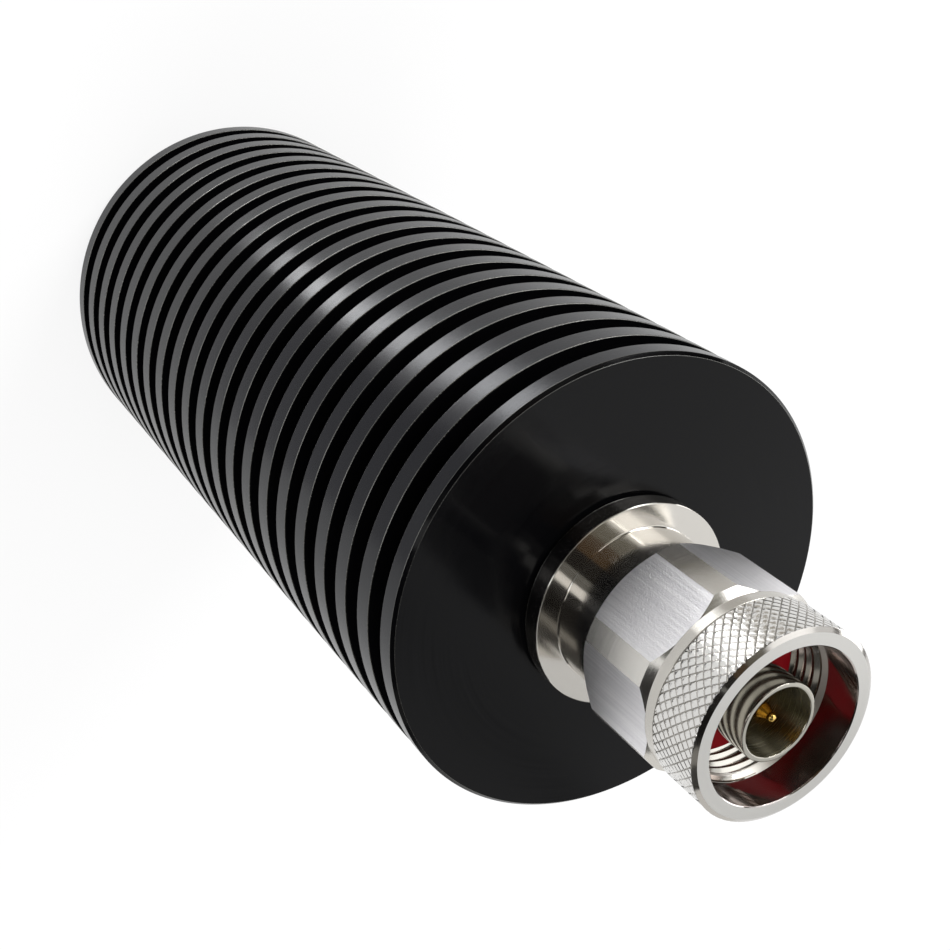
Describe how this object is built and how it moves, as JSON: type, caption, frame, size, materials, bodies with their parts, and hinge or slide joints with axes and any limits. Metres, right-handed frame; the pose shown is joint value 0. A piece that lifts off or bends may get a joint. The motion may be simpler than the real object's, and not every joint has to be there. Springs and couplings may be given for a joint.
{
  "type": "rf dummy load",
  "caption": "Round finned black heat sink with a coaxial plug on its front end: hexagon and knurled coupling nut, outer sleeve contact and gold centre pin.",
  "frame": {"origin": "centre of the rear fin's outer face, on which the load stands", "axes": "+Z along the axis, from the rear face towards the coupling nut; a flat of the nut's hexagon faces near -Y"},
  "size_m": [0.05, 0.05, 0.1301],
  "materials": {
    "black_anodised": "satin black anodised, turned",
    "nickel_turned": "bright nickel plate over fine turning marks",
    "nickel_nut": "satin nickel plate, milled flats and knurled band",
    "bright_contact": "bright white-bronze plate",
    "gold_contact": "gold plate",
    "red_silicone": "matt red silicone",
    "black_rubber": "matt black rubber",
    "white_insulator": "white fluoropolymer",
    "ceramic_rod": "dark resistive film on ceramic",
    "silver_caps": "silvered",
    "plain_brass": "turned brass",
    "spring_bronze": "spring bronze",
    "spring_steel": "spring steel"
  },
  "bodies": {
    "load_body": {"heat_sink": "black_anodised", "body_seal": "black_rubber", "connector_body": "nickel_turned", "snap_ring": "spring_bronze", "outer_contact": "bright_contact", "gasket": "red_silicone", "front_bead": "white_insulator", "rear_bead": "white_insulator", "centre_pin": "gold_contact", "inner_conductor": "gold_contact", "upper_cap": "silver_caps", "resistor_rod": "ceramic_rod", "lower_cap": "silver_caps", "matching_horn": "plain_brass", "ground_collet": "spring_bronze", "disc_spring": "spring_steel"},
    "nut": {"coupling_nut": "nickel_nut"}
  },
  "joints": [
    {"name": "coupling_nut_spin", "type": "hinge", "parent": "load_body", "child": "nut", "pos_m": [0, 0, 0.1215], "axis": [0, 0, 1], "continuous": true}
  ]
}
